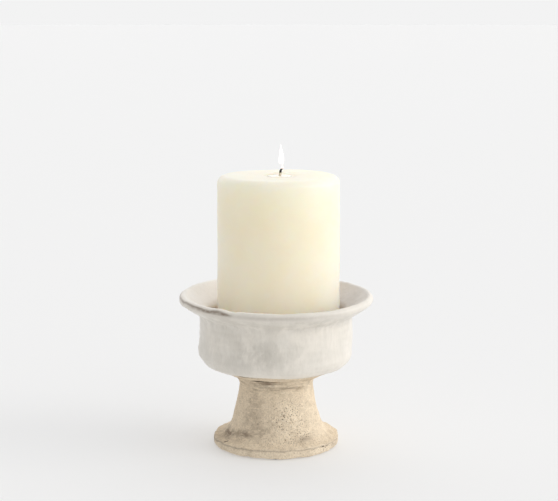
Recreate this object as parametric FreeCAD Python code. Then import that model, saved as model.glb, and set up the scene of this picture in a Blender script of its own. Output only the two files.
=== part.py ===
import FreeCAD, Part
import math
import os

# Footed pillar candle holder with its candle, in millimetres, +Z up.
#
# A wheel-thrown dish with a flared, rolled lip stands on a hollow thrown pedestal.  The two are
# luted together with slip and a smoothed coil of clay, glazed on the dish only, and stand on felt
# pads.  A moulded pillar candle with a braided wick stands loose on the dish floor and lifts
# straight out.  The origin is on the table, on the holder's axis, and radii are measured from
# that axis.  The candle stands a little to the +X side of it.

# Felt pads
PAD_THICKNESS = 1.0
PAD_RADIUS = 5.5
PAD_CIRCLE_RADIUS = 44.0
PAD_COUNT = 4

# Pedestal: a pair is (radius, height above the underside of the foot)
FOOT_RADIUS = 52.4
FOOT_EDGE = 1.5
FLANGE_EDGE = (52.4, 6.2)
FLANGE_SHOULDER = (51.6, 8.4)
FLANGE_TOP = (49.8, 9.6)
COVE = (41.6, 13.4)
STEM_FOOT = (37.8, 18.5)
STEM_MIDDLE = (33.2, 34.8)
NECK = (30.5, 51.0)
NECK_RADIUS = NECK[0]
PEDESTAL_HEIGHT = 55.7
HOLLOW_RADIUS = 36.5
HOLLOW_TAPER_HEIGHT = 44.0

# Joint between pedestal and dish
SLIP_THICKNESS = 0.8
SOCKET_RADIUS = 21.0
SPIGOT_RADIUS = 20.6
SPIGOT_LENGTH = 6.0
SPIGOT_EDGE = 1.0
COIL_MIDDLE = (32.2, 55.6)
COIL_REACH = 7.0
COIL_EDGE = 0.5

# Dish, as seen over the glaze
GLAZE = 0.6
WALL_RADIUS = 63.5
INNER_RADIUS = 57.2
LIP_RADIUS = 80.4
LIP_HEIGHT = 127.4
LIP_THICKNESS = 6.8
LIP_ANGLE = 35.4
LIP_END_FLAT = 0.1
FLOOR_HEIGHT = 73.85
UNDERSIDE_SLOPE = 0.48
GLAZE_LINE_RADIUS = 57.0
BELLY_ROUNDING = 10.4
LIP_UNDER_ROUNDING = 6.6
LIP_INNER_ROUNDING = 8.4
FLOOR_ROUNDING = 4.1

# Candle
CANDLE_OFFSET = 2.05
CANDLE_HEIGHT = 152.4
CANDLE_BASE_RADIUS = 51.2
CANDLE_TOP_RADIUS = 50.4
SHOULDER_RADIUS = 6.5
BASE_EDGE_RADIUS = 1.5
POOL_RADIUS = 12.0
POOL_DEPTH = 2.2
POOL_LEVEL = 0.5

# Wick and its metal sustainer
WICK_OFFSET = 1.2
WICK_RADIUS = 1.1
WICK_STRAIGHT = 3.0
WICK_BEND_RADIUS = 9.0
WICK_BEND_ANGLE = 40.0
WICK_LIFT = 1.0
SUSTAINER_LIFT = 0.6
SUSTAINER_RADIUS = 10.0
SUSTAINER_THICKNESS = 0.4
SUSTAINER_NECK_RADIUS = 1.9
SUSTAINER_NECK_HEIGHT = 8.0

# Places that follow from the sizes above: heights are above the table
FOOT_Z = PAD_THICKNESS
SEAM_Z = FOOT_Z + PEDESTAL_HEIGHT + SLIP_THICKNESS
FLOOR_Z = FOOT_Z + FLOOR_HEIGHT
CANDLE_TOP_Z = FLOOR_Z + CANDLE_HEIGHT
WICK_X = CANDLE_OFFSET + WICK_OFFSET
ROLL_R = LIP_RADIUS - LIP_THICKNESS / 2
ROLL_Z = FOOT_Z + LIP_HEIGHT - LIP_THICKNESS / 2
LIP_RISE = math.sin(math.radians(LIP_ANGLE))
LIP_RUN = math.cos(math.radians(LIP_ANGLE))

UP = FreeCAD.Vector(0, 0, 1)
ORIGIN = FreeCAD.Vector(0, 0, 0)


def at(radius, z):
    """A point of a section, which is drawn in the XZ plane."""
    return FreeCAD.Vector(radius, 0, z)


def rounded(corners):
    """Edges of a closed outline with corners (radius, z, rounding), rounded by tangent arcs."""
    starts, ends, vias = [], [], []
    for i, (r, z, rounding) in enumerate(corners):
        here = at(r, z)
        back = at(*corners[i - 1][:2]).sub(here).normalize()
        on = at(*corners[(i + 1) % len(corners)][:2]).sub(here).normalize()
        if not rounding:
            starts.append(here)
            ends.append(here)
            vias.append(None)
            continue
        half = back.getAngle(on) / 2
        reach = rounding / math.tan(half)
        middle = (back + on).normalize()
        centre = here + middle * (rounding / math.sin(half))
        starts.append(here + back * reach)
        ends.append(here + on * reach)
        vias.append(centre - middle * rounding)
    edges = []
    for i, via in enumerate(vias):
        if via is not None:
            edges.append(Part.Arc(starts[i], via, ends[i]).toShape())
        edges.append(Part.LineSegment(ends[i], starts[(i + 1) % len(starts)]).toShape())
    return edges


def traced(start, *steps):
    """Edges from start: a step of one point is a line to it, and of two is an arc via the first."""
    edges, here = [], at(*start)
    for step in steps:
        points = [at(*p) for p in step]
        curve = Part.LineSegment(here, *points) if len(points) == 1 else Part.Arc(here, *points)
        edges.append(curve.toShape())
        here = points[-1]
    return edges


def turned(face):
    """The solid that a section makes when it turns about the holder's axis."""
    return face.revolve(ORIGIN, UP, 360)


def section(edges):
    return Part.Face(Part.Wire(edges))


def above_foot(point):
    """A point given above the underside of the foot, moved to its height above the table."""
    return point[0], FOOT_Z + point[1]


def rod(radius, height, x, z):
    return Part.makeCylinder(radius, height, FreeCAD.Vector(x, 0, z), UP)


# ---- Dish -------------------------------------------------------------------------------------


def lip_line(radius, side):
    """Height at that radius of the lip's clay: side is 1 for its upper side, -1 for its underside."""
    middle = ROLL_Z + (radius - ROLL_R) * LIP_RISE / LIP_RUN
    return middle + side * (LIP_THICKNESS / 2 - GLAZE) / LIP_RUN


def lip_corner(side):
    """Where the lip's upper side or underside would end if its clay weren't rolled round."""
    half = LIP_THICKNESS / 2 - GLAZE
    return ROLL_R + half * (LIP_RUN - side * LIP_RISE), ROLL_Z + half * (LIP_RISE + side * LIP_RUN)


def dish_section():
    """The bare clay of the dish, from the spigot under it to the lip."""
    wall = WALL_RADIUS - GLAZE
    inner = INNER_RADIUS + GLAZE
    floor = FLOOR_Z - GLAZE
    roll = (LIP_THICKNESS - LIP_END_FLAT) / 2 - GLAZE
    return section(
        rounded(
            [
                (0, SEAM_Z - SPIGOT_LENGTH, 0),
                (SPIGOT_RADIUS, SEAM_Z - SPIGOT_LENGTH, SPIGOT_EDGE),
                (SPIGOT_RADIUS, SEAM_Z, 0),
                (NECK_RADIUS, SEAM_Z, 0),
                (wall, SEAM_Z + (wall - NECK_RADIUS) * UNDERSIDE_SLOPE, BELLY_ROUNDING),
                (wall, lip_line(wall, -1), LIP_UNDER_ROUNDING),
                (*lip_corner(-1), roll),
                (*lip_corner(1), roll),
                (inner, lip_line(inner, 1), LIP_INNER_ROUNDING),
                (inner, floor, FLOOR_ROUNDING),
                (0, floor, 0),
            ]
        )
    )


def glaze_section():
    """A skin of even thickness over the clay, inside and out, down to the glaze line."""
    clay = dish_section()
    skin = clay.makeOffset2D(GLAZE, join=0).cut(clay)
    above, outside, below = 2 * FLOOR_Z, 2 * LIP_RADIUS, FLOOR_Z - 2 * GLAZE
    glazed_part = traced(
        (0, below),
        [(GLAZE_LINE_RADIUS, below)],
        [(GLAZE_LINE_RADIUS, 0)],
        [(outside, 0)],
        [(outside, above)],
        [(0, above)],
        [(0, below)],
    )
    return skin.common(section(glazed_part))


# ---- Pedestal and its joint --------------------------------------------------------------------


def pedestal():
    """A hollow thrown foot: a flanged base, a slanting stem and a socket at the top."""
    top = FOOT_Z + PEDESTAL_HEIGHT
    edge_middle = FOOT_EDGE * (1 - math.sqrt(0.5))
    outline = traced(
        (HOLLOW_RADIUS, FOOT_Z),
        [(FOOT_RADIUS - FOOT_EDGE, FOOT_Z)],
        [(FOOT_RADIUS - edge_middle, FOOT_Z + edge_middle), (FOOT_RADIUS, FOOT_Z + FOOT_EDGE)],
        [above_foot(FLANGE_EDGE)],
        [above_foot(FLANGE_SHOULDER), above_foot(FLANGE_TOP)],
        [above_foot(COVE), above_foot(STEM_FOOT)],
        [above_foot(STEM_MIDDLE), above_foot(NECK)],
        [(NECK_RADIUS, top)],
        [(SOCKET_RADIUS, top)],
        [(SOCKET_RADIUS, FOOT_Z + HOLLOW_TAPER_HEIGHT)],
        [(HOLLOW_RADIUS, FOOT_Z)],
    )
    return turned(section(outline))


def seam_slip():
    """The ring of slip that the dish was set down on."""
    slip = rod(NECK_RADIUS, SLIP_THICKNESS, 0, SEAM_Z - SLIP_THICKNESS)
    return slip.cut(rod(SOCKET_RADIUS, SLIP_THICKNESS, 0, SEAM_Z - SLIP_THICKNESS))


def neck_coil():
    """The coil pressed into the corner between stem and dish, smoothed hollow, with blunt edges."""
    low = above_foot(NECK)
    reach = NECK_RADIUS + COIL_REACH
    high = SEAM_Z + COIL_REACH * UNDERSIDE_SLOPE
    outline = traced(
        low,
        [(NECK_RADIUS + COIL_EDGE, low[1])],
        [above_foot(COIL_MIDDLE), (reach, high - COIL_EDGE)],
        [(reach, high)],
        [(NECK_RADIUS, SEAM_Z)],
        [low],
    )
    return turned(section(outline))


def felt_pad(index):
    angle = 2 * math.pi * index / PAD_COUNT
    centre = FreeCAD.Vector(math.cos(angle), math.sin(angle), 0) * PAD_CIRCLE_RADIUS
    return Part.makeCylinder(PAD_RADIUS, PAD_THICKNESS, centre, UP)


# ---- Candle ------------------------------------------------------------------------------------


def pool_ball():
    """The ball whose lowest cap is the dip in the wax around the wick."""
    radius = (POOL_RADIUS**2 + POOL_DEPTH**2) / (2 * POOL_DEPTH)
    centre = FreeCAD.Vector(WICK_X, 0, CANDLE_TOP_Z - POOL_DEPTH + radius)
    return Part.makeSphere(radius, centre)


def wick():
    """A braided cotton wick, straight through the wax and curling over above it."""
    bend_z = CANDLE_TOP_Z + WICK_STRAIGHT
    straight = rod(WICK_RADIUS, bend_z - FLOOR_Z - WICK_LIFT, WICK_X, FLOOR_Z + WICK_LIFT)
    end = Part.Circle(FreeCAD.Vector(WICK_X, 0, bend_z), UP, WICK_RADIUS).toShape()
    pivot = FreeCAD.Vector(WICK_X + WICK_BEND_RADIUS, 0, bend_z)
    bend = Part.Face(Part.Wire(end)).revolve(pivot, FreeCAD.Vector(0, 1, 0), WICK_BEND_ANGLE)
    return straight.fuse(bend).removeSplitter()


def wick_sustainer():
    """A pressed steel disc in the foot of the candle, with a neck crimped round the wick."""
    disc = rod(SUSTAINER_RADIUS, SUSTAINER_THICKNESS, WICK_X, FLOOR_Z + SUSTAINER_LIFT)
    neck = rod(SUSTAINER_NECK_RADIUS, SUSTAINER_NECK_HEIGHT, WICK_X, FLOOR_Z + SUSTAINER_LIFT)
    return disc.fuse(neck).cut(rod(WICK_RADIUS, CANDLE_HEIGHT, WICK_X, FLOOR_Z))


def melt_pool():
    """The liquid wax round the wick of a lit candle."""
    level = CANDLE_TOP_Z - POOL_LEVEL
    liquid = pool_ball().common(rod(2 * POOL_RADIUS, 2 * POOL_DEPTH, WICK_X, level - 2 * POOL_DEPTH))
    return liquid.cut(rod(WICK_RADIUS, CANDLE_HEIGHT, WICK_X, FLOOR_Z))


def wax_pillar():
    """The moulded wax, a little wider at its base so that it leaves the mould."""
    outline = rounded(
        [
            (0, FLOOR_Z, 0),
            (CANDLE_BASE_RADIUS, FLOOR_Z, BASE_EDGE_RADIUS),
            (CANDLE_TOP_RADIUS, CANDLE_TOP_Z, SHOULDER_RADIUS),
            (0, CANDLE_TOP_Z, 0),
        ]
    )
    pillar = turned(section(outline))
    pillar.translate(FreeCAD.Vector(CANDLE_OFFSET, 0, 0))
    recess = rod(SUSTAINER_RADIUS, SUSTAINER_LIFT + SUSTAINER_THICKNESS, WICK_X, FLOOR_Z)
    neck_depth = SUSTAINER_LIFT + SUSTAINER_NECK_HEIGHT
    neck_hole = rod(SUSTAINER_NECK_RADIUS, neck_depth, WICK_X, FLOOR_Z)
    wick_hole = rod(WICK_RADIUS, CANDLE_HEIGHT, WICK_X, FLOOR_Z)
    return pillar.cut([recess, neck_hole, wick_hole, pool_ball()])


def main():
    parts = {
        "dish_bowl": turned(dish_section()),
        "dish_glaze": turned(glaze_section()),
        "pedestal_foot": pedestal(),
        "seam_slip": seam_slip(),
        "neck_coil": neck_coil(),
        "wax_pillar": wax_pillar(),
        "wick": wick(),
        "wick_sustainer": wick_sustainer(),
        "melt_pool": melt_pool(),
    }
    for i in range(PAD_COUNT):
        parts[f"felt_pad_{i + 1}"] = felt_pad(i)
    os.makedirs("parts", exist_ok=True)
    for name, shape in parts.items():
        box = shape.BoundBox
        print(
            f"{name:15s} solids {len(shape.Solids)} valid {shape.isValid()} volume {shape.Volume:11.1f}"
            f"  x {box.XMin:6.1f}..{box.XMax:6.1f}  z {box.ZMin:6.1f}..{box.ZMax:6.1f}"
        )
        shape.exportStep(f"parts/{name}.step")


main()
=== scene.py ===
import math

import bmesh
import bpy
import numpy as np
from mathutils import Euler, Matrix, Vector


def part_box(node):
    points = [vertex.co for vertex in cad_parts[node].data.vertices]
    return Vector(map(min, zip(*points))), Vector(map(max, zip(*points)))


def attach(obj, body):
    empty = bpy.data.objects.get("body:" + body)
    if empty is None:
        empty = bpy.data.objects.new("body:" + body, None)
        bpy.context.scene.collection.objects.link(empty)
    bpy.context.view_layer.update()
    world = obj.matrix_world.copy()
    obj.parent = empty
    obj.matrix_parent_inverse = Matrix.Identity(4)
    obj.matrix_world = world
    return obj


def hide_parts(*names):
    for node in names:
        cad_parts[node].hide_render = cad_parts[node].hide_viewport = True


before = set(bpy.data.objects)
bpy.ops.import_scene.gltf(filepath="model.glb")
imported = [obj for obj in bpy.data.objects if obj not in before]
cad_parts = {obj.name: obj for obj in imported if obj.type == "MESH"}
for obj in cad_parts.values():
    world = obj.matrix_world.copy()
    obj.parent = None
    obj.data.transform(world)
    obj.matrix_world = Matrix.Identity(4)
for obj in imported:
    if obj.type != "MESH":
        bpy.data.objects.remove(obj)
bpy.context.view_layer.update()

# A hand-thrown, footed candle dish with its pillar candle.  Shapes are worked out in millimetres
# in the frame's own axes and become metres when a mesh is made.  Angles are in degrees about +Z
# from +X, so 270 faces the camera, 180 is the object's left and 0 its right.
MM = 0.001


def low_high(node):
    """A CAD node's lowest and highest corners, in millimetres."""
    low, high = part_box(node)
    return np.array(low) / MM, np.array(high) / MM


# ---- Sizes that the frame gives ------------------------------------------------------------------

foot_low, foot_high = low_high("pedestal_foot")
slip_high = low_high("seam_slip")[1]
coil_low, coil_high = low_high("neck_coil")
bowl_low, bowl_high = low_high("dish_bowl")
glaze_high = low_high("dish_glaze")[1]
wax_low, wax_high = low_high("wax_pillar")
wick_low, wick_high = low_high("wick")
pool_low, pool_high = low_high("melt_pool")

FOOT_Z = foot_low[2]
FOOT_R = foot_high[0]
NECK_R = slip_high[0]
SEAM_Z = slip_high[2]
GLAZE = glaze_high[0] - bowl_high[0]
LIP_R = bowl_high[0]
LIP_Z = bowl_high[2]
CANDLE_X = (wax_low[0] + wax_high[0]) / 2
CANDLE_R = (wax_high[0] - wax_low[0]) / 2
CANDLE_Z = wax_low[2]
CANDLE_TOP = wax_high[2]
POOL_X = (pool_low[0] + pool_high[0]) / 2
POOL_Z = pool_high[2]
WICK_R = wick_high[1]
WICK_TOP = wick_high[2]

# ---- Sizes of the sections between those, in millimetres -----------------------------------------

FOOT_EDGE = 1.5
FLANGE = [(52.4, 6.6), (52.1, 7.7), (51.0, 8.3)]
CREASE = 6.7
COVE = [(51.0, 8.3), (42.3, 12.7), (37.8, 18.5)]
STEM = [(37.8, 18.5), (33.2, 34.8), (30.5, 51.0)]
HOLLOW_R = 36.5
HOLLOW_TAPER = 44.0
SOCKET_R = 21.0
SPIGOT_R = 20.6
WALL_R = 62.9
INNER_R = 57.8
LIP_HALF = 2.8
LIP_ANGLE = math.radians(35.4)
UNDERSIDE_SLOPE = 0.48
BELLY_ROUNDING = 10.4
LIP_UNDER_ROUNDING = 6.6
LIP_INNER_ROUNDING = 8.4
RIM_LEAN = 1.5
RIM_DROP = 0.3
FLOOR_ROUNDING = 4.1
GLAZE_LINE_R = 57.0
SHOULDER = 6.5
CANDLE_TAPER = 0.8
POOL_R = 12.0
POOL_DEPTH = 2.2


# ---- Section outlines ----------------------------------------------------------------------------


def arc(start, via, end, step):
    """Points of the arc through three points, both ends included."""
    (ax, ay), (bx, by), (cx, cy) = start, via, end
    twice = 2 * (ax * (by - cy) + bx * (cy - ay) + cx * (ay - by))
    a2, b2, c2 = ax * ax + ay * ay, bx * bx + by * by, cx * cx + cy * cy
    ux = (a2 * (by - cy) + b2 * (cy - ay) + c2 * (ay - by)) / twice
    uy = (a2 * (cx - bx) + b2 * (ax - cx) + c2 * (bx - ax)) / twice
    radius = math.hypot(ax - ux, ay - uy)
    angles = np.unwrap([math.atan2(y - uy, x - ux) for x, y in (start, via, end)])
    count = max(3, int(abs(angles[2] - angles[0]) * radius / step) + 2)
    turn = np.linspace(angles[0], angles[2], count)
    return np.stack([ux + radius * np.cos(turn), uy + radius * np.sin(turn)], 1)


def rounded(corners, step):
    """An open path with its corners (radius, height, rounding) rounded, in points step apart."""
    path = [np.array(corners[0][:2], float)]
    for before, (x, y, rounding), after in zip(corners, corners[1:], corners[2:]):
        here = np.array([x, y], float)
        back = np.array(before[:2], float) - here
        on = np.array(after[:2], float) - here
        back /= np.linalg.norm(back)
        on /= np.linalg.norm(on)
        half = math.acos(np.clip(back @ on, -1, 1)) / 2
        middle = (back + on) / np.linalg.norm(back + on)
        reach = rounding / math.tan(half)
        nearest = here + middle * (rounding / math.sin(half) - rounding)
        path.extend(arc(here + back * reach, nearest, here + on * reach, step))
    path.append(np.array(corners[-1][:2], float))
    return spaced(np.array(path), step)


def spaced(path, step):
    """The same path in evenly spaced points."""
    along = np.concatenate([[0], np.cumsum(np.linalg.norm(np.diff(path, axis=0), axis=1))])
    at = np.linspace(0, along[-1], max(2, round(along[-1] / step) + 1))
    return np.stack([np.interp(at, along, path[:, k]) for k in range(2)], 1)


def joined(*paths):
    """Paths end to end, with a point that two of them share kept once."""
    points = np.concatenate(paths)
    gap = np.linalg.norm(np.diff(points, axis=0), axis=1)
    return points[np.concatenate([[True], gap > 1e-3])]


# ---- Unevenness ----------------------------------------------------------------------------------


def ripple(points, size, seed, stretch=(1, 1, 1), waves=20):
    """Smooth, seeded unevenness, about 1 at its usual, with features about size across."""
    random = np.random.default_rng(seed)
    ways = random.normal(size=(waves, 3))
    ways /= np.linalg.norm(ways, axis=1, keepdims=True)
    pace = 2 * math.pi / size * random.uniform(0.55, 1.45, (waves, 1)) / np.array(stretch)
    phase = random.uniform(0, 2 * math.pi, waves)
    return np.cos(points @ (ways * pace).T + phase).sum(-1) / math.sqrt(waves / 2)


def smooth(low, high, value):
    """0 below low, 1 above high, and smooth between."""
    t = np.clip((value - low) / (high - low), 0, 1)
    return t * t * (3 - 2 * t)


def off_angle(points, degrees):
    """How far round from that direction each point lies, in degrees, from -180 to 180."""
    turn = np.degrees(np.arctan2(points[..., 1], points[..., 0])) - degrees
    return (turn + 180) % 360 - 180


def spot(points, degrees, z, width, height):
    """1 at that place on a turned surface, fading over width degrees and height millimetres."""
    across = off_angle(points, degrees) / width
    up = (points[..., 2] - z) / height
    return np.exp(-across * across - up * up)


# ---- Meshes --------------------------------------------------------------------------------------


def section_normals(section):
    """Outward directions of a section whose points run anticlockwise."""
    ahead = np.concatenate([section[1:], section[-1:]])
    behind = np.concatenate([section[:1], section[:-1]])
    along = ahead - behind
    normal = np.stack([along[:, 1], -along[:, 0]], 1)
    return normal / np.maximum(np.linalg.norm(normal, axis=1, keepdims=True), 1e-9)


def anticlockwise(section):
    """The same section, with its points running anticlockwise."""
    x, y = section[:, 0], section[:, 1]
    area = np.sum(x * np.roll(y, -1) - y * np.roll(x, -1))
    return section if area > 0 else section[::-1]


def turned(section, segments, relief=None, warp=None, centre=None):
    """Grid of points, in millimetres, of a section turned about Z.

    relief gives how far a point stands proud of the section, warp moves the finished points, and
    centre gives the X of the axis for each point of the section.
    """
    section = anticlockwise(section)
    turn = np.linspace(0, 2 * math.pi, segments, endpoint=False)
    ring = np.stack([np.cos(turn), np.sin(turn)], 1)
    radius, height = section[:, 0], section[:, 1]
    normal = section_normals(section)
    points = np.empty((len(section), segments, 3))
    points[..., :2] = radius[:, None, None] * ring
    points[..., 2] = height[:, None]
    if relief is not None:
        facing = np.empty_like(points)
        facing[..., :2] = normal[:, 0, None, None] * ring
        facing[..., 2] = normal[:, 1, None]
        proud = relief(points, facing)
        points = points + proud[..., None] * facing
    if centre is not None:
        points[..., 0] += centre(radius, height)[:, None]
    if warp is not None:
        points = warp(points)
    return points


def grid_mesh(name, points, marks=None):
    """A closed mesh of a turned grid.  A first or last ring on the axis becomes one point."""
    rows, segments = points.shape[:2]
    radii = np.linalg.norm(points[..., :2] - points[..., :2].mean(1, keepdims=True), axis=-1).max(1)
    poles = [radii[0] < 1e-3, radii[-1] < 1e-3]
    corners, index = [], np.empty((rows, segments), int)
    count = 0
    for row in range(rows):
        if (row == 0 and poles[0]) or (row == rows - 1 and poles[1]):
            corners.append(points[row].mean(0, keepdims=True))
            index[row] = count
            count += 1
        else:
            corners.append(points[row])
            index[row] = count + np.arange(segments)
            count += segments
    faces = []
    bands = list(zip(range(rows - 1), range(1, rows)))
    if not any(poles):
        bands.append((rows - 1, 0))
    for low, high in bands:
        a, b = index[low], np.roll(index[low], -1)
        d, c = index[high], np.roll(index[high], -1)
        quads = np.stack([a, b, c, d], 1)
        if low == 0 and poles[0]:
            quads = quads[:, [0, 2, 3]]
        elif high == rows - 1 and poles[1]:
            quads = quads[:, [0, 1, 2]]
        faces.extend(quads.tolist())
    mesh = bpy.data.meshes.new(name)
    mesh.from_pydata((np.concatenate(corners) * MM).tolist(), [], faces)
    for mark, values in (marks or {}).items():
        kept = []
        for row in range(rows):
            is_pole = index[row, 0] == index[row, -1]
            kept.append(values[row][:1] if is_pole else values[row])
        attribute = mesh.attributes.new(mark, "FLOAT", "POINT")
        attribute.data.foreach_set("value", np.concatenate(kept).astype(np.float32))
    outward(mesh)
    mesh.shade_smooth()
    piece = bpy.data.objects.new(name, mesh)
    bpy.context.scene.collection.objects.link(piece)
    return piece


def outward(mesh):
    """Turns every face of a closed mesh to face outward."""
    work = bmesh.new()
    work.from_mesh(mesh)
    bmesh.ops.recalc_face_normals(work, faces=work.faces)
    work.to_mesh(mesh)
    work.free()


def place(piece, body, slot, material, *nodes):
    """Gives a piece its material and body, and hides the CAD nodes that it stands for."""
    piece.data.materials.append(material)
    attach(piece, body)
    if nodes:
        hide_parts(*nodes)
    return piece


# ---- Materials -----------------------------------------------------------------------------------


class Nodes:
    """A node tree being built: each method adds a node and returns its output."""

    def __init__(self, tree):
        self.tree = tree

    def feed(self, socket, value):
        """Links a socket to another's output, or sets its own value."""
        if isinstance(value, bpy.types.NodeSocket):
            self.tree.links.new(value, socket)
        elif socket.type == "RGBA":
            socket.default_value = (*value, 1)
        else:
            socket.default_value = value

    def band(self, value, low, high, to_low=0.0, to_high=1.0):
        """value from low to high, taken smoothly to to_low and to_high."""
        node = self.tree.nodes.new("ShaderNodeMapRange")
        node.interpolation_type = "SMOOTHSTEP"
        self.feed(node.inputs["Value"], value)
        node.inputs["From Min"].default_value = low
        node.inputs["From Max"].default_value = high
        node.inputs["To Min"].default_value = to_low
        node.inputs["To Max"].default_value = to_high
        return node.outputs["Result"]

    def math(self, operation, a, b):
        """The sum, product or other result of two numbers."""
        node = self.tree.nodes.new("ShaderNodeMath")
        node.operation = operation
        self.feed(node.inputs[0], a)
        self.feed(node.inputs[1], b)
        return node.outputs[0]

    def mix(self, factor, a, b):
        """Colour a, or colour b where factor is 1."""
        node = self.tree.nodes.new("ShaderNodeMix")
        node.data_type = "RGBA"
        sockets = [socket for socket in node.inputs if socket.enabled]
        for socket, value in zip(sockets, (factor, a, b)):
            self.feed(socket, value)
        return [socket for socket in node.outputs if socket.enabled][0]

    def along(self, value, direction):
        """How far value points along a direction."""
        node = self.tree.nodes.new("ShaderNodeVectorMath")
        node.operation = "DOT_PRODUCT"
        self.feed(node.inputs[0], value)
        node.inputs[1].default_value = direction
        return node.outputs["Value"]


class Paint(Nodes):
    """A material on the Principled shader, with textures set by the place on the object."""

    def __init__(self, name):
        self.material = bpy.data.materials.new(name)
        self.material.use_nodes = True
        super().__init__(self.material.node_tree)
        self.shader = self.tree.nodes["Principled BSDF"]
        self.where = self.tree.nodes.new("ShaderNodeTexCoord").outputs["Object"]

    def set(self, **values):
        """Sets sockets of the shader, with underscores for the spaces in their names."""
        for name, value in values.items():
            self.feed(self.shader.inputs[name.replace("_", " ")], value)

    def stretched(self, stretch):
        """The place on the object, with features drawn out by stretch along each axis."""
        mapping = self.tree.nodes.new("ShaderNodeMapping")
        mapping.inputs["Scale"].default_value = [1 / s for s in stretch]
        self.tree.links.new(self.where, mapping.inputs["Vector"])
        return mapping.outputs["Vector"]

    def spread(self, texture, size, stretch):
        """Gives a texture features about size millimetres across, drawn out by any stretch."""
        texture.inputs["Scale"].default_value = 1 / (size * MM)
        where = self.stretched(stretch) if stretch else self.where
        self.tree.links.new(where, texture.inputs["Vector"])

    def noise(self, size, detail=3.0, rough=0.55, stretch=None, twist=0.0):
        """Cloudy noise from 0 to 1 with features about size millimetres across."""
        node = self.tree.nodes.new("ShaderNodeTexNoise")
        node.inputs["Detail"].default_value = detail
        node.inputs["Roughness"].default_value = rough
        node.inputs["Distortion"].default_value = twist
        self.spread(node, size, stretch)
        return node.outputs["Fac"]

    def dots(self, size, stretch=None):
        """Distance, in cells, from the nearest of points scattered about size millimetres apart."""
        node = self.tree.nodes.new("ShaderNodeTexVoronoi")
        self.spread(node, size, stretch)
        return node.outputs["Distance"]

    def mark(self, name):
        """A strength from 0 to 1 that the mesh carries at its points."""
        node = self.tree.nodes.new("ShaderNodeAttribute")
        node.attribute_name = name
        return node.outputs["Fac"]

    def height(self):
        """The Z of the place on the object, in metres."""
        node = self.tree.nodes.new("ShaderNodeSeparateXYZ")
        self.tree.links.new(self.where, node.inputs[0])
        return node.outputs["Z"]

    def bump(self, height, depth, under=None):
        """Bumps the surface by depth millimetres, over an earlier bump."""
        node = self.tree.nodes.new("ShaderNodeBump")
        node.inputs["Distance"].default_value = depth * MM
        self.feed(node.inputs["Height"], height)
        if under is not None:
            self.tree.links.new(under, node.inputs["Normal"])
        return node.outputs["Normal"]


def glaze_material():
    """Satin off-white glaze: cloudy, faintly streaked downwards, taupe where it runs thin on the
    crest, with painted shade under and on the lip and inside it on the right, and painted light
    inside it on the left.
    """
    paint = Paint("off_white_glaze")
    cloud = paint.noise(30, 3, 0.5)
    patch = paint.noise(10, 3, 0.5, stretch=(1, 1, 1.4))
    dab = paint.noise(2.3, 4, 0.6, stretch=(1, 1, 2.4))
    streak = paint.noise(1.7, 2, 0.5, stretch=(1, 1, 9))
    fleck = paint.dots(5.0)
    colour = paint.mix(paint.band(cloud, 0.36, 0.66), (0.85, 0.80, 0.72), (0.79, 0.75, 0.68))
    # The mottle mark also carries painted shade in a band below the lip, so these dark patches
    # paint shade there too.
    dark_patches_and_lip_shade = paint.math("MULTIPLY", paint.band(patch, 0.34, 0.62), paint.mark("mottle"))
    colour = paint.mix(dark_patches_and_lip_shade, colour, (0.60, 0.565, 0.50))
    light_dab = paint.math("MULTIPLY", paint.band(dab, 0.45, 0.30, 0, 0.6), paint.mark("mottle"))
    colour = paint.mix(light_dab, colour, (0.88, 0.84, 0.77))
    dabbed = paint.math("MULTIPLY", paint.band(dab, 0.48, 0.70, 0, 0.5), paint.mark("mottle"))
    colour = paint.mix(dabbed, colour, (0.54, 0.50, 0.44))
    colour = paint.mix(paint.band(streak, 0.45, 0.8, 0, 0.12), colour, (0.66, 0.62, 0.56))
    colour = paint.mix(paint.band(fleck, 0.03, 0.08, 0.35, 0), colour, (0.42, 0.36, 0.30))
    # Painted shade: a darker grey over the inside of the lip on the right, where the light from the
    # right does not reach.
    colour = paint.mix(paint.mark("painted_shade_inside_right"), colour, (0.445, 0.443, 0.440))
    # Painted light: the inside of the lip is made paler away from the right, most on the left, as
    # if lit there.
    painted_light_inside_left = paint.math("MULTIPLY", paint.mark("painted_light_inside_left"), 0.95)
    colour = paint.mix(painted_light_inside_left, colour, (0.99, 0.975, 0.925))
    broken = paint.band(paint.noise(3.0, 4, 0.7), 0.25, 0.5, 0.6, 1)
    # This mark darkens the crest where the glaze runs thin, and also paints shade under the crest
    # and on the lip's left face.
    thin_glaze_and_shade = paint.math("MULTIPLY", paint.mark("thin_glaze_and_shade"), broken)
    colour = paint.mix(thin_glaze_and_shade, colour, (0.26, 0.20, 0.15))
    paint.set(Base_Color=colour)
    paint.set(Roughness=paint.band(patch, 0.3, 0.7, 0.32, 0.46))
    peel = paint.bump(paint.noise(1.3, 2, 0.5), 0.04)
    paint.set(Normal=paint.bump(streak, 0.06, peel))
    paint.set(Specular_IOR_Level=0.45, Coat_Weight=0.15, Coat_Roughness=0.22)
    return paint.material


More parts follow.
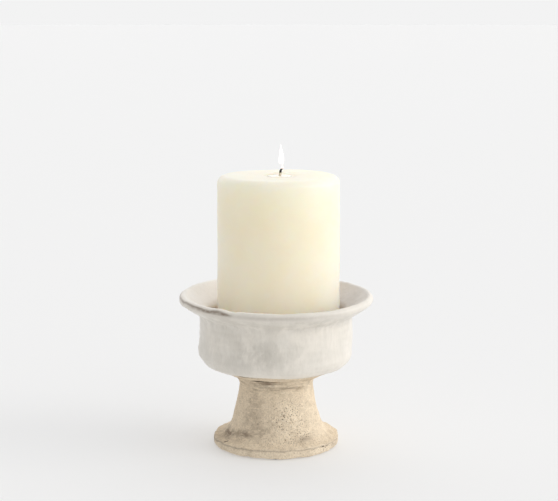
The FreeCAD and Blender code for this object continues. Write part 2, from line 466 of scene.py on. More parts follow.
def clay_material():
    """Bare sandy stoneware: blotched, speckled, dragged sideways at the neck and stained, with
    painted shade darkening its gouges and the crease under the flange.
    """
    paint = Paint("bare_clay")
    cloud = paint.noise(20, 4, 0.6)
    blotch = paint.noise(5.5, 5, 0.7)
    grain = paint.noise(1.1, 4, 0.75)
    drag = paint.noise(1.9, 4, 0.65, stretch=(7, 7, 1))
    zone = paint.band(paint.noise(9, 2, 0.5), 0.38, 0.62)
    gritty = paint.math("MAXIMUM", paint.mark("gritty"), paint.math("MULTIPLY", zone, 0.35))
    colour = paint.mix(paint.band(cloud, 0.36, 0.66), (0.91, 0.78, 0.60), (0.85, 0.72, 0.55))
    colour = paint.mix(paint.band(blotch, 0.44, 0.66, 0, 0.45), colour, (0.56, 0.465, 0.34))
    colour = paint.mix(paint.band(grain, 0.42, 0.66, 0, 0.55), colour, (0.52, 0.425, 0.305))
    colour = paint.mix(paint.band(grain, 0.42, 0.28, 0, 0.55), colour, (0.95, 0.85, 0.70))
    dragged = paint.mark("dragged")
    dark_drag = paint.math("MULTIPLY", paint.band(drag, 0.50, 0.66, 0, 0.75), dragged)
    colour = paint.mix(dark_drag, colour, (0.42, 0.33, 0.23))
    pale_drag = paint.math("MULTIPLY", paint.band(drag, 0.44, 0.32, 0, 0.7), dragged)
    colour = paint.mix(pale_drag, colour, (0.96, 0.86, 0.71))
    pale = paint.math("MULTIPLY", paint.band(paint.dots(1.5), 0.14, 0.34, 0.9, 0), gritty)
    colour = paint.mix(pale, colour, (0.93, 0.85, 0.72))
    pits = paint.math("MULTIPLY", paint.band(paint.dots(1.8), 0.14, 0.34, 1.0, 0), gritty)
    colour = paint.mix(pits, colour, (0.26, 0.20, 0.14))
    smudge = paint.math("MAXIMUM", paint.band(blotch, 0.36, 0.56), paint.band(drag, 0.42, 0.56))
    stain = paint.math("MULTIPLY", paint.mark("stain"), paint.math("MAXIMUM", smudge, 0.3))
    colour = paint.mix(stain, colour, (0.27, 0.21, 0.155))
    # Painted shade: near-black in the gouges and along the crease under the flange, where shadow
    # falls.
    colour = paint.mix(paint.mark("crevice"), colour, (0.10, 0.07, 0.05))
    paint.set(Base_Color=colour)
    paint.set(Roughness=paint.band(grain, 0.3, 0.7, 0.78, 0.95))
    rough = paint.bump(grain, 0.30)
    rough = paint.bump(paint.math("MULTIPLY", drag, dragged), 0.5, rough)
    paint.set(Normal=paint.bump(pits, -0.25, rough))
    paint.set(Specular_IOR_Level=0.25)
    return paint.material


def wax_material():
    """Smooth ivory wax that light goes into."""
    paint = Paint("ivory_wax")
    bloom = paint.noise(34, 3, 0.5)
    frost = paint.noise(4.0, 3, 0.6)
    colour = paint.mix(paint.band(bloom, 0.35, 0.68), (0.99, 0.850, 0.70), (0.975, 0.830, 0.665))
    colour = paint.mix(paint.band(frost, 0.5, 0.8, 0, 0.2), colour, (0.95, 0.89, 0.77))
    paint.set(Base_Color=colour)
    paint.set(Roughness=paint.band(frost, 0.3, 0.7, 0.34, 0.44))
    soft = paint.bump(bloom, 0.5)
    paint.set(Normal=paint.bump(frost, 0.05, soft))
    paint.set(Subsurface_Weight=1.0, Subsurface_Radius=(1.0, 0.82, 0.54), Subsurface_Scale=0.060)
    paint.set(Specular_IOR_Level=0.5, Sheen_Weight=0.25, Sheen_Roughness=0.45)
    return paint.material


def pool_material():
    """Liquid wax, a little clearer and wetter than the candle, with a faint painted glow for the
    flame's light on it.
    """
    paint = Paint("liquid_wax")
    swirl = paint.noise(7, 2, 0.5)
    colour = paint.mix(paint.band(swirl, 0.3, 0.7), (0.96, 0.915, 0.81), (0.95, 0.895, 0.77))
    paint.set(Base_Color=colour)
    paint.set(Roughness=paint.band(swirl, 0.3, 0.7, 0.22, 0.30))
    # Painted light: a faint warm glow on the liquid wax, standing in for the flame lighting it.
    paint.set(Emission_Color=(1.0, 0.90, 0.74), Emission_Strength=0.05)
    return paint.material


def wick_material():
    """Cotton: waxed and cream at the bottom, charred above, and glowing at the tip."""
    paint = Paint("braided_wick")
    z = paint.math("ADD", paint.height(), paint.math("MULTIPLY", paint.noise(1.2, 2, 0.6), 0.0012))
    char = paint.band(z, (CANDLE_TOP + 2.1) * MM, (CANDLE_TOP + 3.1) * MM)
    glow = paint.band(z, (CHAR_TOP - 0.3) * MM, (CHAR_TOP + 0.5) * MM)
    strands = paint.noise(0.5, 3, 0.7, stretch=(1, 1, 2))
    cotton = paint.mix(paint.band(strands, 0.3, 0.7), (0.86, 0.78, 0.60), (0.62, 0.52, 0.36))
    ash = paint.mix(paint.band(strands, 0.3, 0.75), (0.012, 0.010, 0.009), (0.055, 0.045, 0.04))
    colour = paint.mix(char, cotton, ash)
    paint.set(Base_Color=paint.mix(glow, colour, (1.0, 0.86, 0.76)))
    paint.set(Emission_Color=paint.mix(glow, (0, 0, 0), (1.0, 0.86, 0.76)), Emission_Strength=1.1)
    paint.set(Roughness=paint.band(strands, 0.3, 0.7, 0.75, 0.95))
    paint.set(Normal=paint.bump(strands, 0.12))
    return paint.material


def flame_material():
    """A flame that reads as white, fading to a faint warm foot and a soft tip."""
    paint = Paint("flame")
    z = paint.height()
    foot = paint.band(z, (FLAME_LOW + 1.5) * MM, (FLAME_LOW + 7.5) * MM)
    tip = paint.band(z, (FLAME_TOP - 4.0) * MM, FLAME_TOP * MM, 1, 0.15)
    flicker = paint.noise(5, 2, 0.5, stretch=(1, 1, 3))
    glow = paint.mix(foot, (1.0, 0.84, 0.76), (1.0, 0.99, 0.97))
    paint.set(Base_Color=paint.mix(foot, (1.0, 0.85, 0.78), (1, 1, 1)))
    paint.set(Emission_Color=paint.mix(paint.band(flicker, 0.3, 0.7, 0, 0.2), glow, (1, 1, 1)))
    paint.set(Emission_Strength=1.15)
    paint.set(Alpha=paint.math("MULTIPLY", paint.band(foot, 0, 1, 0.0, 0.97), tip), Roughness=1.0)
    return paint.material


def felt_material():
    """Pressed grey-brown felt."""
    paint = Paint("pressed_felt")
    fibre = paint.noise(0.7, 4, 0.75, twist=1.5)
    tuft = paint.noise(3, 3, 0.6)
    colour = paint.mix(paint.band(fibre, 0.35, 0.7), (0.30, 0.26, 0.22), (0.17, 0.145, 0.12))
    paint.set(Base_Color=paint.mix(paint.band(tuft, 0.4, 0.7, 0, 0.4), colour, (0.36, 0.32, 0.27)))
    paint.set(Roughness=paint.band(fibre, 0.3, 0.7, 0.88, 1.0))
    paint.set(Normal=paint.bump(fibre, 0.25), Sheen_Weight=0.3, Sheen_Roughness=0.6)
    return paint.material


def tin_material():
    """Pressed, tinned steel with faint turning marks and dulled patches."""
    paint = Paint("tinned_steel")
    marks = paint.noise(0.5, 3, 0.6, stretch=(1, 6, 1))
    dull = paint.noise(5, 4, 0.6)
    colour = paint.mix(paint.band(dull, 0.4, 0.7), (0.70, 0.70, 0.69), (0.52, 0.51, 0.49))
    paint.set(Base_Color=colour, Metallic=1.0)
    paint.set(Roughness=paint.band(dull, 0.35, 0.7, 0.26, 0.46))
    paint.set(Normal=paint.bump(marks, 0.04))
    return paint.material


# ---- Dish ----------------------------------------------------------------------------------------


def lip_line(radius, side, half):
    """Height at that radius of the lip's upper side (1) or underside (-1)."""
    roll_r, roll_z = LIP_R - LIP_HALF, LIP_Z - LIP_HALF
    return roll_z + (radius - roll_r) * math.tan(LIP_ANGLE) + side * half / math.cos(LIP_ANGLE)


def lip_corner(side, half):
    """Corner of the rolled edge of the lip, on its upper side (1) or underside (-1)."""
    roll_r, roll_z = LIP_R - LIP_HALF, LIP_Z - LIP_HALF
    run, rise = math.cos(LIP_ANGLE), math.sin(LIP_ANGLE)
    return roll_r + half * (run - side * rise), roll_z + half * (rise + side * run)


def underside(radius, glaze):
    """Height of the dish's underside at that radius."""
    return SEAM_Z + (radius - NECK_R) * UNDERSIDE_SLOPE - glaze * math.hypot(1, UNDERSIDE_SLOPE)


def dish_corners(start, glaze):
    """Corners of the dish from its underside at radius start, round the lip, to its floor.

    glaze is how thick a coat lies over the clay.
    """
    wall, inner = WALL_R + glaze, INNER_R - glaze
    floor, half = CANDLE_Z - GLAZE + glaze, LIP_HALF + glaze
    return [
        (start, underside(start, glaze), 0),
        (wall, underside(wall, glaze), BELLY_ROUNDING + glaze),
        (wall, lip_line(wall, -1, half), LIP_UNDER_ROUNDING - glaze),
        (*lip_corner(-1, half), half - 0.05),
        (*lip_corner(1, half), half - 0.05),
        (inner, lip_line(inner, 1, half), LIP_INNER_ROUNDING + glaze),
        (inner, floor, FLOOR_ROUNDING - glaze),
        (0, floor, 0),
    ]


def rim_lean(points):
    """How far the rim is off level there: low at the front and high at the back."""
    return RIM_LEAN * np.sin(np.radians(off_angle(points, 0))) - RIM_DROP


def thrown(points):
    """How the dish departs from a true turned form: bulges, ovality and an uneven rim."""
    moved = points.copy()
    radius = np.maximum(np.linalg.norm(points[..., :2], axis=-1), 1e-6)
    turn = np.radians(off_angle(points, 0))
    high = smooth(SEAM_Z, LIP_Z, points[..., 2])
    outer = smooth(38, 56, radius)
    out = 0.35 * high * np.cos(2 * turn + 0.7) + 0.2 * high * np.cos(3 * turn + 2.0)
    out = out + 1.7 * spot(points, 180, 81.0, 34, 7.0)
    rim = smooth(58, 76, radius) * smooth(104, 120, points[..., 2])
    lift = 0.35 * np.cos(turn + 2.2) + 0.25 * np.cos(3 * turn + 0.4)
    lift = lift + rim_lean(points)
    lift = lift - 0.9 * np.exp(-((off_angle(points, 243) / 4.5) ** 2))
    lift = lift + 0.5 * np.exp(-((off_angle(points, 234) / 5.0) ** 2))
    scale = 1 + out * outer / radius
    moved[..., :2] *= scale[..., None]
    moved[..., 2] += lift * rim
    return moved


def glaze_relief(points, facing):
    """Throwing rings, runs and a thick, wandering lower edge on the glaze's outer surface."""
    radius = np.linalg.norm(points[..., :2], axis=-1)
    turn = np.radians(off_angle(points, 0))
    z = points[..., 2]
    wall = smooth(66, 74, z) * (1 - smooth(108, 114, z)) * smooth(60, 62, radius)
    rings = np.cos((z - 4.2 * turn / (2 * math.pi)) * 2 * math.pi / 6.1 + 0.6 * np.sin(turn))
    rings = rings * (0.09 + 0.05 * ripple(points, 40, 11))
    runs = 0.06 * ripple(points, 5.0, 12, stretch=(1, 1, 3)) + 0.03 * ripple(points, 2.2, 13)
    swell = 0.16 * ripple(points, 26, 14)
    bead = 0.35 * np.exp(-((radius - GLAZE_LINE_R - 1.2) / 1.6) ** 2) * (1 - smooth(74, 80, z))
    return rings * wall + runs * smooth(20, 40, radius) + swell * smooth(50, 60, radius) + bead


def glaze_edge(points):
    """The glaze line wanders up and down the belly."""
    moved = thrown(points)
    z, radius = moved[..., 2], np.linalg.norm(moved[..., :2], axis=-1)
    turn = np.radians(off_angle(moved, 0))
    wander = 0.5 * np.cos(3 * turn + 1.1) + 0.5 * np.cos(7 * turn + 0.3)
    wander = wander + 0.3 * np.cos(16 * turn + 2)
    wander = wander + 1.8 * np.exp(-((off_angle(moved, 240) / 12) ** 2))
    wander = wander + 2.4 * np.exp(-((off_angle(moved, 268) / 16) ** 2)) - 1.3 * np.cos(turn + 0.5)
    near = (1 - smooth(GLAZE_LINE_R, GLAZE_LINE_R + 5.5, radius)) * (1 - smooth(73, 74.2, z))
    near = near * smooth(GLAZE_LINE_R - 3, GLAZE_LINE_R - 1, radius)
    moved[..., :2] *= (1 + wander * near / np.maximum(radius, 1))[..., None]
    moved[..., 2] += wander * near * UNDERSIDE_SLOPE
    return moved


def glaze_marks(points):
    """Where the glaze is thin over the crest, the dark line along its lower edge and its mottling,
    with painted shade under the lip and inside it on the right, and painted light inside it on the
    left.
    """
    z, radius = points[..., 2], np.linalg.norm(points[..., :2], axis=-1)
    turn = np.mod(off_angle(points, 0), 360)
    left = smooth(168, 182, turn) * (1 - smooth(240, 246, turn))
    level = z - rim_lean(points)
    crest = np.exp(-(((radius - 80.0) / 0.55) ** 2)) * smooth(124.5, 126.0, level)
    edge = np.exp(-((radius - GLAZE_LINE_R - 0.2) / 0.8) ** 2) * (1 - smooth(72, 74, z))
    front_left = np.exp(-((off_angle(points, 235) / 26) ** 2))
    front = np.exp(-(((turn - 275) / 38) ** 2))
    # Painted shade: under_crest is a dark band under the crest at the front, and face darkens the
    # lip's outer face on the left; both go into the thin-glaze mark with the real thin crest.
    under_crest = np.exp(-(((level - 125.0) / 1.5) ** 2)) * smooth(77.5, 79.0, radius) * front
    face = np.exp(-(((level - 122.8) / 2.2) ** 2)) * smooth(72, 76, radius) * left
    thin_glaze_and_shade = crest * (0.05 + 0.87 * left) + 0.34 * under_crest + 0.16 * face
    thin_glaze_and_shade = thin_glaze_and_shade + edge * (0.15 + 0.6 * front_left)
    outside = smooth(60, 62, radius) * (1 - smooth(112, 122, z))
    belly = np.exp(-(((z - 90) / 13) ** 2)) * np.exp(-((off_angle(points, 260) / 24) ** 2))
    mottle = outside * (0.16 + 0.62 * belly + 0.10 * np.exp(-((off_angle(points, 225) / 30) ** 2)))
    # Painted shade: a darker band under the lip, added into the mottle mark.
    lip_shade = 0.35 * smooth(106, 112, z) * (1 - smooth(118, 124, z)) * smooth(60, 62, radius)
    inside = (1 - smooth(76, 79, radius)) * smooth(0, 1, (z - lip_line(radius, 0, 0)) / 2)
    # Painted shade on the inside of the lip, strongest on the right.
    painted_shade_inside_right = 0.7 * inside * np.exp(-((off_angle(points, 5) / 55) ** 2))
    # Painted light on the inside of the lip, growing away from the right.
    painted_light_inside_left = inside * smooth(60, 110, np.abs(off_angle(points, 0)))
    marks = {"thin_glaze_and_shade": thin_glaze_and_shade, "mottle": mottle + lip_shade, "painted_shade_inside_right": painted_shade_inside_right, "painted_light_inside_left": painted_light_inside_left}
    return {name: np.clip(values, 0, 1) for name, values in marks.items()}


def build_dish(clay, glaze):
    """The glaze coat, and the clay of the dish that it lies on."""
    hidden = rounded(dish_corners(GLAZE_LINE_R, 0), 2.4)
    shown = rounded(dish_corners(GLAZE_LINE_R, GLAZE), 0.85)
    points = turned(joined(shown, hidden[::-1]), 512, glaze_relief, glaze_edge)
    piece = grid_mesh("glaze_coat", points, glaze_marks(points))
    place(piece, "holder", "glaze", glaze, "dish_glaze")

    spigot = [(0, bowl_low[2]), (SPIGOT_R, bowl_low[2]), (SPIGOT_R, SEAM_Z), (NECK_R, SEAM_Z)]
    bare = spaced(np.array([(NECK_R, SEAM_Z), (GLAZE_LINE_R, underside(GLAZE_LINE_R, 0))]), 0.9)
    section = joined(spaced(np.array(spigot), 2.0), bare, hidden)
    points = turned(section, 512, dish_clay_relief, thrown)
    piece = grid_mesh("thrown_dish", points, clay_marks(points))
    place(piece, "holder", "bare_clay", clay, "dish_bowl")


# ---- Bare clay -----------------------------------------------------------------------------------

# Crevices and gouges: angle, height, width in degrees, height in mm, depth in mm.
GOUGES = [
    (243, 69.2, 6, 0.6, 0.25),
    (250, 62.6, 6, 0.8, 0.28),
    (257, 60.2, 5, 0.7, 0.28),
    (263, 53.0, 2.4, 0.5, 0.4),
    (278, 56.2, 2.5, 0.6, -0.4),
    (262, 38.8, 1.7, 0.6, 0.5),
    (280, 32.1, 1.7, 0.7, 0.5),
    (271, 27.2, 1.6, 0.7, 0.5),
    (278, 21.6, 1.6, 0.8, 0.6),
    (245, 24.6, 1.5, 0.6, 0.5),
    (213, 8.4, 2.0, 0.8, 0.5),
    (318, 6.5, 2.2, 0.9, 0.5),
]
# Darker patches: angle, height, width in degrees, height in mm, strength.
STAINS = [
    (250, 62.4, 8, 1.6, 1.0),
    (258, 59.4, 9, 1.4, 0.8),
    (242, 68.9, 11, 1.5, 1.0),
    (246, 56.5, 22, 3.0, 0.55),
    (290, 54.5, 20, 1.6, 0.5),
    (200, 12.5, 18, 3.0, 0.95),
    (228, 15.5, 12, 2.4, 0.75),
    (250, 19.0, 16, 6.0, 0.40),
    (235, 36.0, 14, 14.0, 0.40),
    (268, 60.0, 18, 2.2, 0.30),
    (303, 13.0, 12, 2.0, 0.65),
    (190, 6.0, 24, 4.0, 0.35),
    (338, 4.2, 8, 2.0, 0.5),
]
# Speckled places: angle, height, width in degrees, height in mm, strength.
GRITTY = [
    (288, 30.0, 28, 15.0, 1.1),
    (305, 14.0, 22, 4.0, 0.9),
    (320, 5.0, 22, 4.0, 0.7),
    (262, 12.0, 22, 3.0, 0.6),
    (200, 12.0, 22, 5.0, 0.6),
    (60, 26.0, 40, 14.0, 0.7),
    (130, 16.0, 40, 9.0, 0.6),
]


def patched(points, patches):
    """Strength of those patches at each point."""
    strength = np.zeros(points.shape[:-1])
    for angle, z, width, height, most in patches:
        strength += most * spot(points, angle, z, width, height)
    return strength


def gouged(points):
    """Depth of the gouges at each point."""
    return patched(points, GOUGES)


def clay_relief(points, facing):
    """Grit, finger-soft unevenness, trimming rings and pits."""
    z = points[..., 2]
    turn = np.radians(off_angle(points, 0))
    soft = 0.22 * ripple(points, 24, 21) + 0.10 * ripple(points, 8, 22)
    grit = 0.045 * ripple(points, 2.2, 23) + 0.03 * ripple(points, 1.4, 24)
    rings = 0.05 * np.cos((z + turn) * 2 * math.pi / 2.9) * (1 + 0.5 * ripple(points, 20, 25))
    pits = 0.5 * smooth(2.1, 3.2, ripple(points, 3.0, 26))
    return soft + grit + rings - pits - gouged(points)


def clay_marks(points):
    """Where the clay is stained, speckled or dragged, and where shade is painted into its gouges
    and the crease under the flange.
    """
    z = points[..., 2]
    crevice = smooth(0.22, 0.5, gouged(points) * (1 + 0.3 * ripple(points, 2.5, 27)))
    radius = np.linalg.norm(points[..., :2], axis=-1)
    crease = z - FOOT_Z - CREASE + 0.8 * flange_sag(points) - 0.3 * ripple(points, 12, 29)
    # Painted shade along the crease under the flange's edge.
    crevice = crevice + 0.50 * np.exp(-((crease / 0.55) ** 2)) * smooth(50.5, 51.5, radius)
    dragged = smooth(47, 53, z) * (1 - smooth(66, 70, z)) * (0.75 + 0.25 * ripple(points, 18, 28))
    marks = {"stain": patched(points, STAINS), "gritty": patched(points, GRITTY)}
    marks.update(crevice=crevice * 0.85, dragged=dragged)
    return {name: np.clip(values, 0, 1) for name, values in marks.items()}


def dish_clay_relief(points, facing):
    """The bare ring under the dish is uneven.  The rest lies under the glaze and is smooth."""
    radius = np.linalg.norm(points[..., :2], axis=-1)
    bare = smooth(NECK_R, NECK_R + 2, radius) * (1 - smooth(GLAZE_LINE_R - 2, GLAZE_LINE_R, radius))
    under = 1 - smooth(70, 72, points[..., 2])
    return clay_relief(points, facing) * bare * under


def chips(points):
    """Small chips knocked off the rim of the foot."""
    random = np.random.default_rng(31)
    depth = np.zeros(points.shape[:-1])
    count = 22
    angles = random.uniform(0, 360, count)
    sizes = random.uniform(0.8, 2.2, count)
    for angle, size, high in zip(angles, sizes, random.random(count)):
        z = FOOT_Z + (8.0 if high > 0.5 else 0.6)
        depth += 0.45 * spot(points, angle, z, size, 0.5 * size)
    return depth


def foot_relief(points, facing):
    """The clay's own unevenness, with a groove under the flange's edge and chips off the rim."""
    radius, z = np.linalg.norm(points[..., :2], axis=-1), points[..., 2]
    wander = z + 0.35 * ripple(points * (1, 1, 0), 30, 32)
    groove = 0.45 * np.exp(-((wander - FOOT_Z - CREASE) / 0.45) ** 2) * smooth(51, 52, radius)
    ledge = 0.25 * np.exp(-((wander - FOOT_Z - 7.9) / 0.6) ** 2) * smooth(49.5, 51, radius)
    groove = groove - ledge
    on_flange = smooth(HOLLOW_R, HOLLOW_R + 1, radius)
    on_stem = smooth(FOOT_Z + 20, FOOT_Z + 24, z) * smooth(24, 28, radius)
    shown = np.clip(on_flange + on_stem, 0, 1)
    return (clay_relief(points, facing) - groove - chips(points)) * shown


def flange_sag(points):
    """How far the flange has sunk there: most at its sides."""
    turn = np.radians(off_angle(points, 0))
    return 1.0 - 0.1 * np.cos(turn) + 0.9 * np.cos(2 * turn)


def foot_warp(points):
    """The flange sags, and takes the bottom of the stem's hollow curve with it."""
    moved = points.copy()
    radius, z = np.linalg.norm(points[..., :2], axis=-1), points[..., 2]
    moved[..., 2] -= flange_sag(points) * smooth(35, 44, radius) * smooth(FOOT_Z + 2, FOOT_Z + 8, z)
    return moved


def build_pedestal(clay):
    """The thrown stem and foot, hollow inside."""

    def up(path):
        return [(r, FOOT_Z + z) for r, z in path]

    bend = FOOT_EDGE * (1 - math.sqrt(0.5))
    edge = [
        (FOOT_R - FOOT_EDGE, FOOT_Z),
        (FOOT_R - bend, FOOT_Z + bend),
        (FOOT_R, FOOT_Z + FOOT_EDGE),
    ]
    top = foot_high[2]
    curves = [edge, up(FLANGE), up(COVE), up(STEM)]
    outside = joined(*[arc(*curve, 0.4) for curve in curves])
    outside = joined(outside, np.array([(NECK_R, top)]))
    inside = [(NECK_R, top), (SOCKET_R, top), (SOCKET_R, FOOT_Z + HOLLOW_TAPER), (HOLLOW_R, FOOT_Z)]
    under = [(HOLLOW_R, FOOT_Z), (FOOT_R - FOOT_EDGE, FOOT_Z)]
    inside, under = spaced(np.array(inside), 1.5), spaced(np.array(under), 1.5)
    section = joined(spaced(outside, 0.7), inside, under)
    points = turned(section[:-1], 480, foot_relief, foot_warp)
    piece = grid_mesh("thrown_pedestal", points, clay_marks(points))
    place(piece, "holder", "bare_clay", clay, "pedestal_foot")


def coil_relief(points, facing):
    """Horizontal drag marks left where the coil was smoothed in."""
    drags = 0.22 * ripple(points, 2.1, 41, stretch=(9, 9, 1))
    drags = drags + 0.15 * ripple(points, 4.0, 42, stretch=(5, 5, 1))
    return drags * 0.7 + clay_relief(points, facing) * 0.8


def build_coil(clay):
    """The coil smoothed into the corner, feathered out over stem and dish."""
    feather = 1.6
    low = (NECK_R + 0.15, coil_low[2] - feather)
    middle = (NECK_R + 1.9, coil_low[2] + 4.8)
    reach = coil_high[0] + feather
    high = (reach, underside(reach, 0) - 0.1)
    face = spaced(arc(low, middle, high, 0.4), 0.55)
    back = [high, (NECK_R, SEAM_Z + 0.8), (NECK_R - 0.8, SEAM_Z), (NECK_R - 0.8, coil_low[2]), low]
    section = joined(face, spaced(np.array(back), 1.2))[:-1]

    def relief(points, facing):
        radius = np.linalg.norm(points[..., :2], axis=-1)
        shown = smooth(NECK_R - 0.2, NECK_R + 0.5, radius) * (facing[..., 2] < 0.2)
        return coil_relief(points, facing) * shown

    points = turned(section, 480, relief)
    piece = grid_mesh("smoothed_coil", points, clay_marks(points))
    place(piece, "holder", "bare_clay", clay, "neck_coil")


def build_pads(felt):
    """A soft-edged felt disc for each pad."""
    pads = sorted(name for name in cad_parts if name.startswith("felt_pad_"))
    for seed, name in enumerate(pads):
        low, high = low_high(name)
        radius, thick = (high[0] - low[0]) / 2, high[2] - low[2]
        edge = 0.35
        corners = [(0, 0, 0), (radius, 0, edge), (radius, thick, edge), (0, thick, 0)]

        def fuzz(points, facing, seed=seed):
            side = smooth(radius - 1.2, radius - 0.3, np.linalg.norm(points[..., :2], axis=-1))
            return side * (0.10 * ripple(points, 0.9, 50 + seed) - 0.08)

        points = turned(rounded(corners, 0.25), 96, fuzz)
        points[..., :2] += (low[:2] + high[:2]) / 2
        points[..., 2] += low[2]
        place(grid_mesh(f"felt_disc_{seed + 1}", points), "holder", "felt", felt, name)


# ---- Candle --------------------------------------------------------------------------------------


def candle_axis(radius, height):
    """The wax is turned about its own axis outside, and about the wick near the wick."""
    return POOL_X + (CANDLE_X - POOL_X) * smooth(POOL_R + 2, CANDLE_R - 8, radius)


def wax_relief(points, facing):
    """The wax is a little soft in outline, most of all round its shoulder."""
    radius, z = np.linalg.norm(points[..., :2], axis=-1), points[..., 2]
    soft = 0.10 * ripple(points, 45, 61) + 0.03 * ripple(points, 14, 62)
    lobes = np.cos(2 * np.radians(off_angle(points, 40)))
    sag = 0.25 * np.exp(-(((z - CANDLE_TOP + SHOULDER) / 7) ** 2)) * lobes
    outer = smooth(POOL_R + 3, 24, radius) * smooth(CANDLE_Z, CANDLE_Z + 2, z)
    return (soft + sag * smooth(40, 50, radius)) * outer


def build_wax(wax):
    """The pillar: a drafted side, a soft shoulder, a dished top round the wick and its hole."""
    tin_low, tin_high = low_high("wick_sustainer")
    tin_r, hole = (tin_high[0] - tin_low[0]) / 2, WICK_R + 0.05
    recess, top_r = CANDLE_Z + 1.0, CANDLE_R - CANDLE_TAPER
    dip = CANDLE_TOP - POOL_DEPTH
    bottom = [(hole, recess, 0), (tin_r, recess, 0.3), (tin_r, CANDLE_Z, 0.3)]
    side = [(CANDLE_R, CANDLE_Z, 1.5), (top_r, CANDLE_TOP, SHOULDER)]
    dish = [(POOL_R + 2.5, CANDLE_TOP - 0.15, 6.0), (7.5, dip + 0.35, 5.0), (hole, dip, 0)]
    outside = rounded(bottom + side + dish, 1.0)
    bore = spaced(np.array([(hole, dip), (hole, recess)]), 12)
    section = joined(outside, bore)[:-1]
    points = turned(section, 256, wax_relief, centre=candle_axis)
    place(grid_mesh("wax_candle", points), "candle", "wax", wax, "wax_pillar")


def pool_axis(radius, height):
    """The liquid lies about the wick."""
    return np.full(len(radius), POOL_X)


def build_pool(liquid):
    """Liquid wax with a meniscus at its rim and round the wick."""
    inner, outer = WICK_R + 0.1, (pool_high[0] - pool_low[0]) / 2 - 0.1
    floor = pool_low[2] + 0.05
    across = np.linspace(inner, outer, 26)
    creep = 0.28 * np.exp(-(outer - across) / 0.7) + 0.35 * np.exp(-(across - inner) / 0.6)
    top = np.stack([across, POOL_Z - 0.30 + creep], 1)
    bed = np.stack([across[::-1], floor + (POOL_Z - 0.15 - floor) * (across[::-1] / outer) ** 2], 1)
    points = turned(joined(top, bed), 128, centre=pool_axis)
    place(grid_mesh("molten_wax", points), "candle", "liquid_wax", liquid, "melt_pool")


WICK_STRAIGHT = 3.0
WICK_BEND = 9.0
WICK_PITCH = 2.6
CHAR_TOP = CANDLE_TOP + 6.1


def wick_line(count):
    """Points and directions along the wick: straight through the wax, then curling to the right."""
    start, bend_z = wick_low[2], CANDLE_TOP + WICK_STRAIGHT
    swing = math.asin(min(1, (WICK_TOP - bend_z - 0.7) / WICK_BEND))
    lengths = np.array([CANDLE_TOP - 4 - start, 4 + WICK_STRAIGHT, WICK_BEND * swing])
    straight = np.linspace(start, CANDLE_TOP - 4, 24)
    fine = np.linspace(CANDLE_TOP - 4, bend_z, count)[1:]
    x0 = wick_low[0] + WICK_R
    points = [(x0, 0, z) for z in np.concatenate([straight, fine])]
    ways = [(0, 0, 1)] * len(points)
    for turn in np.linspace(0, swing, int(count * lengths[2] / lengths[1]) + 2)[1:]:
        x = x0 + WICK_BEND * (1 - math.cos(turn))
        points.append((x, 0, bend_z + WICK_BEND * math.sin(turn)))
        ways.append((math.sin(turn), 0, math.cos(turn)))
    return np.array(points), np.array(ways)


def build_wick(cotton):
    """Three strands braided round each other: a tube whose skin swells over each strand."""
    line, ways = wick_line(40)
    around = np.linspace(0, 2 * math.pi, 40, endpoint=False)
    along = np.concatenate([[0], np.cumsum(np.linalg.norm(np.diff(line, axis=0), axis=1))])
    phase = along[:, None] / WICK_PITCH * 2 * math.pi
    braid = np.cos(3 * around + phase) * np.cos(2 * around - phase)
    radius = WICK_R * (0.90 + 0.10 * braid)
    free = smooth(CANDLE_TOP, CANDLE_TOP + 6, line[:, 2])[:, None]
    radius = radius * (1 - 0.10 * free + 0.10 * free * ripple(line, 1.1, 71)[:, None])
    hook = smooth(CHAR_TOP - 2.6, CHAR_TOP, line[:, 2])
    hook = hook - 1.8 * smooth(CHAR_TOP, WICK_TOP, line[:, 2])
    lean = 0.5 * smooth(CANDLE_TOP - 1, CANDLE_TOP + 4, line[:, 2]) + 1.0 * hook
    line = line + lean[:, None] * np.array([1, 0, 0])
    radius = radius * (1 - 0.75 * smooth(CHAR_TOP - 0.2, CHAR_TOP + 1.2, line[:, 2]))[:, None]
    side = np.cross(ways, (0, 1, 0))
    ring = np.cos(around)[None, :, None] * side[:, None]
    ring = ring + np.sin(around)[None, :, None] * np.array([0, 1, 0])
    points = line[:, None] + radius[..., None] * ring
    ends = [points[:1] * 0 + line[0], points, points[-1:] * 0 + line[-1] + 0.3 * ways[-1]]
    place(grid_mesh("braided_wick", np.concatenate(ends)), "candle", "wick_cotton", cotton, "wick")


FLAME_LOW = CANDLE_TOP + 6.5
FLAME_TOP = 253.2
FLAME_R = 2.05
FLAME_X = 4.0


def flame_axis(radius, height):
    """The flame stands over the wick's tip and sways a little on its way up."""
    return FLAME_X + 0.3 * np.sin((height - FLAME_LOW) / 5.0)


def build_flame(glow):
    """A slender drop of flame standing on the wick's tip."""
    t = np.linspace(0, 1, 40)
    foot = smooth(-0.22, 0.27, t) * np.sqrt(np.clip(t / 0.1, 0, 1))
    radius = FLAME_R * foot * (1 - smooth(0.16, 1.04, t)) ** 0.74
    section = np.stack([radius * (t > 0) * (t < 1), FLAME_LOW + (FLAME_TOP - FLAME_LOW) * t], 1)
    points = turned(section, 48, centre=flame_axis)
    piece = place(grid_mesh("candle_flame", points), "candle", "wick_cotton", glow)
    piece.visible_shadow = False


# ---- Studio --------------------------------------------------------------------------------------


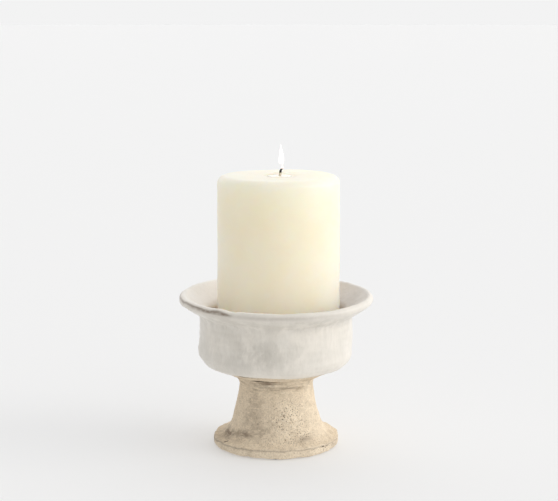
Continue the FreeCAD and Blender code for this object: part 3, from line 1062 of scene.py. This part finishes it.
# Angles are in degrees and directions point at the light.  The camera's sizes and place are in
# millimetres, and the floor's radius is in metres.
KEY_STRENGTH = 0.62
KEY_SPREAD = 30
KEY_ELEVATION = 23
KEY_AZIMUTH = -9
KEY = (
    math.cos(math.radians(KEY_ELEVATION)) * math.cos(math.radians(KEY_AZIMUTH)),
    math.cos(math.radians(KEY_ELEVATION)) * math.sin(math.radians(KEY_AZIMUTH)),
    math.sin(math.radians(KEY_ELEVATION)),
)
WALLS = 0.52
OVERHEAD = 0.58
SOFTBOX = (0.93, -0.28, 0.25)
SOFTBOX_GLOW = 0.80
BACK_WALL = (0.05, 0.96, 0.25)
BACK_WALL_GLOW = 0.62
BACKDROP = 0.895
FLOOR_TONE = 0.60
FLOOR_GLOW = 0.29
FLOOR_RADIUS = 60.0
LENS = 90.63
SENSOR = 36
CAMERA_PLACE = (2.4, -1150, 356.2)
CAMERA_TILT = 9.47


def build_floor():
    """A wide, pale floor, with a slight glow that lifts its shadows."""
    work = bmesh.new()
    bmesh.ops.create_circle(work, cap_ends=True, segments=96, radius=FLOOR_RADIUS)
    mesh = bpy.data.meshes.new("floor")
    work.to_mesh(mesh)
    work.free()
    floor = bpy.data.objects.new("floor", mesh)
    bpy.context.scene.collection.objects.link(floor)
    paint = Paint("pale_floor")
    tone = (FLOOR_TONE, FLOOR_TONE, FLOOR_TONE)
    paint.set(Base_Color=tone, Roughness=0.75, Specular_IOR_Level=0.2)
    paint.set(Emission_Color=(1, 1, 1), Emission_Strength=FLOOR_GLOW)
    mesh.materials.append(paint.material)


def build_lights():
    """A soft key on the right in a broad softbox, pale walls and ceiling, and a wall behind."""
    sun = bpy.data.lights.new("key", "SUN")
    sun.energy = KEY_STRENGTH
    sun.angle = math.radians(KEY_SPREAD)
    sun.color = (1.0, 0.985, 0.96)
    key = bpy.data.objects.new("key", sun)
    key.rotation_euler = Vector(KEY).to_track_quat("Z", "Y").to_euler()
    bpy.context.scene.collection.objects.link(key)

    world = bpy.data.worlds.new("studio")
    world.use_nodes = True
    bpy.context.scene.world = world
    studio = Nodes(world.node_tree)
    direction = studio.tree.nodes.new("ShaderNodeTexCoord").outputs["Generated"]
    walls = studio.band(studio.along(direction, (0, 0, 1)), 0.1, 0.9, WALLS, OVERHEAD)
    softbox = studio.band(studio.along(direction, SOFTBOX), 0.4, 0.97, 0, SOFTBOX_GLOW)
    behind = studio.band(studio.along(direction, BACK_WALL), 0.1, 0.95, 0, BACK_WALL_GLOW)
    light = studio.math("ADD", walls, studio.math("ADD", softbox, behind))
    seen = studio.tree.nodes.new("ShaderNodeLightPath").outputs["Is Camera Ray"]
    shown = studio.math("ADD", studio.math("MULTIPLY", light, studio.math("SUBTRACT", 1.0, seen)),
                        studio.math("MULTIPLY", seen, BACKDROP))
    background = studio.tree.nodes["Background"]
    background.inputs["Color"].default_value = (1, 1, 1, 1)
    studio.feed(background.inputs["Strength"], shown)


def build_camera():
    """The camera: a long lens in front, looking a little down on the dish."""
    data = bpy.data.cameras.new("camera")
    data.lens = LENS
    data.sensor_width = SENSOR
    camera = bpy.data.objects.new("camera", data)
    camera.location = Vector(CAMERA_PLACE) * MM
    camera.rotation_euler = Euler((math.radians(90 - CAMERA_TILT), 0, 0))
    bpy.context.scene.collection.objects.link(camera)
    bpy.context.scene.camera = camera


def main():
    """Builds every piece and the studio round them."""
    bpy.context.scene.view_settings.view_transform = "Standard"
    clay, glaze, felt = clay_material(), glaze_material(), felt_material()
    build_camera()
    build_dish(clay, glaze)
    build_pedestal(clay)
    build_coil(clay)
    build_pads(felt)
    build_wax(wax_material())
    build_pool(pool_material())
    build_wick(wick_material())
    build_flame(flame_material())
    for node, material in (("seam_slip", clay), ("wick_sustainer", tin_material())):
        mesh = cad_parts[node].data
        mesh.materials.clear()
        mesh.materials.append(material)
    build_floor()
    build_lights()


main()
